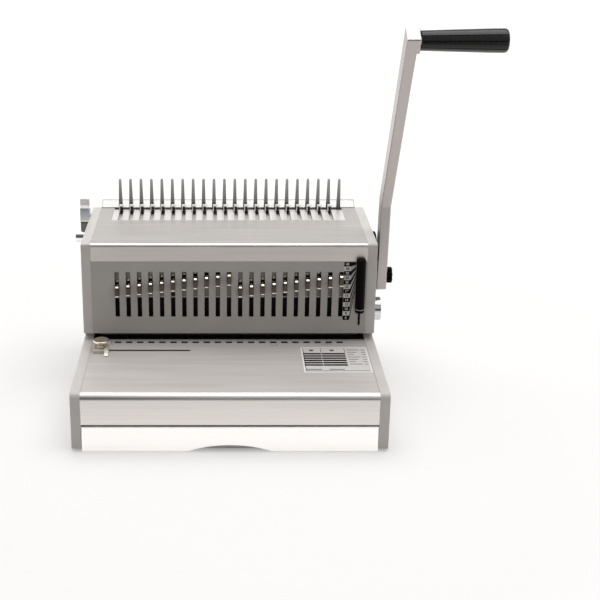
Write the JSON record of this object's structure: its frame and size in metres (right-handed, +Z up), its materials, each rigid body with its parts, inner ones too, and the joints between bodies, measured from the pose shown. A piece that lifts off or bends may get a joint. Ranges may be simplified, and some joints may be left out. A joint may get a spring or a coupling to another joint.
{
  "type": "comb binding machine",
  "caption": "Manual comb binding machine with a punch handle, windows with die pulls, a comb opener with fingers and hooks, a paper table and a waste drawer.",
  "frame": {"origin": "middle of the whole machine's footprint, on the surface that it stands on", "axes": "+X to the operator's right, +Y to the back, +Z up"},
  "size_m": [0.5178, 0.348, 0.4861],
  "materials": {
    "plate_paint": "satin grey paint",
    "panel_paint": "satin grey paint",
    "light_paint": "light satin paint",
    "pan_paint": "dark paint",
    "table_aluminium": "brushed",
    "cover_aluminium": "brushed",
    "arm_aluminium": "satin",
    "knob_aluminium": "turned",
    "bright_plate": "bright plated",
    "chrome": "polished",
    "tool_steel": "ground",
    "finger_steel": "satin",
    "black_steel": "blackened",
    "bronze": "sintered bronze",
    "rubber": "matte",
    "black_plastic": "fine texture",
    "grip_plastic": "semi gloss",
    "tray_plastic": "moulded"
  },
  "bodies": {
    "frame": {"left_side_plate": "plate_paint", "right_side_plate": "plate_paint", "shaft_bushes": "bronze", "cross_members": "tool_steel", "frame_screws": "black_steel", "base_pan": "pan_paint", "rubber_feet": "rubber", "table_plate": "table_aluminium", "die_plate": "tool_steel", "punch_guide": "tool_steel", "guide_posts": "chrome", "return_springs": "finger_steel", "front_panel": "panel_paint", "top_cover": "cover_aluminium", "comb_deck": "cover_aluminium", "comb_plate": "bright_plate", "comb_fingers": "finger_steel", "carriage_rods": "chrome", "rear_cover": "light_paint"},
    "handle": {"main_shaft": "tool_steel", "handle_hub": "black_plastic", "handle_arm": "arm_aluminium", "handle_grip": "grip_plastic"},
    "ram": {"ram_bar": "tool_steel", "ram_racks": "tool_steel", "punches": "tool_steel"},
    "clamp_knob": {"star_knob": "black_plastic"},
    "comb_lever": {"comb_lever": "chrome", "comb_shaft": "tool_steel"},
    "hook_carriage": {"hook_carriage": "finger_steel", "comb_hooks": "black_steel"},
    "drawer": {"drawer_tray": "tray_plastic", "drawer_front": "light_paint"},
    "edge_guide": {"edge_guide": "chrome"},
    "guide_knob": {"guide_knob": "chrome"},
    "size_selector": {"size_selector": "black_plastic"},
    "margin_knob": {"margin_knob": "knob_aluminium", "margin_shaft": "tool_steel"},
    "margin_stop": {"margin_stop": "tool_steel"},
    "die_pull_01": {"die_pull_01": "chrome"},
    "die_pull_02": {"die_pull_02": "chrome"},
    "die_pull_03": {"die_pull_03": "chrome"},
    "die_pull_04": {"die_pull_04": "chrome"},
    "die_pull_05": {"die_pull_05": "chrome"},
    "die_pull_06": {"die_pull_06": "chrome"},
    "die_pull_07": {"die_pull_07": "chrome"},
    "die_pull_08": {"die_pull_08": "chrome"},
    "die_pull_09": {"die_pull_09": "chrome"},
    "die_pull_10": {"die_pull_10": "chrome"},
    "die_pull_11": {"die_pull_11": "chrome"},
    "die_pull_12": {"die_pull_12": "chrome"},
    "die_pull_13": {"die_pull_13": "chrome"},
    "die_pull_14": {"die_pull_14": "chrome"},
    "die_pull_15": {"die_pull_15": "chrome"},
    "die_pull_16": {"die_pull_16": "chrome"},
    "die_pull_17": {"die_pull_17": "chrome"},
    "die_pull_18": {"die_pull_18": "chrome"},
    "die_pull_19": {"die_pull_19": "chrome"},
    "die_pull_20": {"die_pull_20": "chrome"},
    "die_pull_21": {"die_pull_21": "chrome"}
  },
  "joints": [
    {"name": "handle_swing", "type": "hinge", "parent": "frame", "child": "handle", "pos_m": [-0.05095, 0.05103, 0.174], "axis": [1, 0, 0], "range_deg": [0, 80], "stiffness_Nm_per_rad": 1, "springref_deg": -68.75},
    {"name": "ram_slide", "type": "slide", "parent": "frame", "child": "ram", "axis": [0, 0, -1], "range_m": [0, 0.0241], "deforming": ["return_springs"]},
    {"name": "clamp_knob_turn", "type": "hinge", "parent": "handle", "child": "clamp_knob", "pos_m": [-0.05095, 0.05354, 0.1421], "axis": [1, 0, 0], "range_deg": [0, 180]},
    {"name": "comb_lever_swing", "type": "hinge", "parent": "frame", "child": "comb_lever", "pos_m": [-0.05095, 0.12403, 0.173], "axis": [1, 0, 0], "range_deg": [0, 110]},
    {"name": "hook_slide", "type": "slide", "parent": "frame", "child": "hook_carriage", "axis": [0, -1, 0], "range_m": [0, 0.0312]},
    {"name": "drawer_slide", "type": "slide", "parent": "frame", "child": "drawer", "axis": [0, -1, 0], "range_m": [0, 0.2]},
    {"name": "edge_guide_slide", "type": "slide", "parent": "frame", "child": "edge_guide", "axis": [1, 0, 0], "range_m": [0, 0.105]},
    {"name": "guide_knob_turn", "type": "hinge", "parent": "edge_guide", "child": "guide_knob", "pos_m": [-0.21295, -0.03897, 0.08], "axis": [0, 0, 1], "range_deg": [0, 180]},
    {"name": "selector_slide", "type": "slide", "parent": "frame", "child": "size_selector", "axis": [0, 0, -1], "range_m": [0, 0.017]},
    {"name": "margin_stop_slide", "type": "slide", "parent": "frame", "child": "margin_stop", "axis": [0, 1, 0], "range_m": [0, 0.0052]},
    {"name": "margin_knob_turn", "type": "hinge", "parent": "frame", "child": "margin_knob", "pos_m": [-0.05095, 0.03203, 0.103], "axis": [1, 0, 0], "range_deg": [0, 60]},
    {"name": "die_pull_01_slide", "type": "slide", "parent": "ram", "child": "die_pull_01", "axis": [0, -1, 0], "range_m": [0, 0.0045]},
    {"name": "die_pull_02_slide", "type": "slide", "parent": "ram", "child": "die_pull_02", "axis": [0, -1, 0], "range_m": [0, 0.0045]},
    {"name": "die_pull_03_slide", "type": "slide", "parent": "ram", "child": "die_pull_03", "axis": [0, -1, 0], "range_m": [0, 0.0045]},
    {"name": "die_pull_04_slide", "type": "slide", "parent": "ram", "child": "die_pull_04", "axis": [0, -1, 0], "range_m": [0, 0.0045]},
    {"name": "die_pull_05_slide", "type": "slide", "parent": "ram", "child": "die_pull_05", "axis": [0, -1, 0], "range_m": [0, 0.0045]},
    {"name": "die_pull_06_slide", "type": "slide", "parent": "ram", "child": "die_pull_06", "axis": [0, -1, 0], "range_m": [0, 0.0045]},
    {"name": "die_pull_07_slide", "type": "slide", "parent": "ram", "child": "die_pull_07", "axis": [0, -1, 0], "range_m": [0, 0.0045]},
    {"name": "die_pull_08_slide", "type": "slide", "parent": "ram", "child": "die_pull_08", "axis": [0, -1, 0], "range_m": [0, 0.0045]},
    {"name": "die_pull_09_slide", "type": "slide", "parent": "ram", "child": "die_pull_09", "axis": [0, -1, 0], "range_m": [0, 0.0045]},
    {"name": "die_pull_10_slide", "type": "slide", "parent": "ram", "child": "die_pull_10", "axis": [0, -1, 0], "range_m": [0, 0.0045]},
    {"name": "die_pull_11_slide", "type": "slide", "parent": "ram", "child": "die_pull_11", "axis": [0, -1, 0], "range_m": [0, 0.0045]},
    {"name": "die_pull_12_slide", "type": "slide", "parent": "ram", "child": "die_pull_12", "axis": [0, -1, 0], "range_m": [0, 0.0045]},
    {"name": "die_pull_13_slide", "type": "slide", "parent": "ram", "child": "die_pull_13", "axis": [0, -1, 0], "range_m": [0, 0.0045]},
    {"name": "die_pull_14_slide", "type": "slide", "parent": "ram", "child": "die_pull_14", "axis": [0, -1, 0], "range_m": [0, 0.0045]},
    {"name": "die_pull_15_slide", "type": "slide", "parent": "ram", "child": "die_pull_15", "axis": [0, -1, 0], "range_m": [0, 0.0045]},
    {"name": "die_pull_16_slide", "type": "slide", "parent": "ram", "child": "die_pull_16", "axis": [0, -1, 0], "range_m": [0, 0.0045]},
    {"name": "die_pull_17_slide", "type": "slide", "parent": "ram", "child": "die_pull_17", "axis": [0, -1, 0], "range_m": [0, 0.0045]},
    {"name": "die_pull_18_slide", "type": "slide", "parent": "ram", "child": "die_pull_18", "axis": [0, -1, 0], "range_m": [0, 0.0045]},
    {"name": "die_pull_19_slide", "type": "slide", "parent": "ram", "child": "die_pull_19", "axis": [0, -1, 0], "range_m": [0, 0.0045]},
    {"name": "die_pull_20_slide", "type": "slide", "parent": "ram", "child": "die_pull_20", "axis": [0, -1, 0], "range_m": [0, 0.0045]},
    {"name": "die_pull_21_slide", "type": "slide", "parent": "ram", "child": "die_pull_21", "axis": [0, -1, 0], "range_m": [0, 0.0045]}
  ],
  "couplings": [
    {"joint": "ram_slide", "follows": "handle_swing", "m_per_rad": 0.01725},
    {"joint": "hook_slide", "follows": "comb_lever_swing", "m_per_rad": 0.01625},
    {"joint": "margin_knob_turn", "follows": "margin_stop_slide", "rad_per_m": 200}
  ]
}
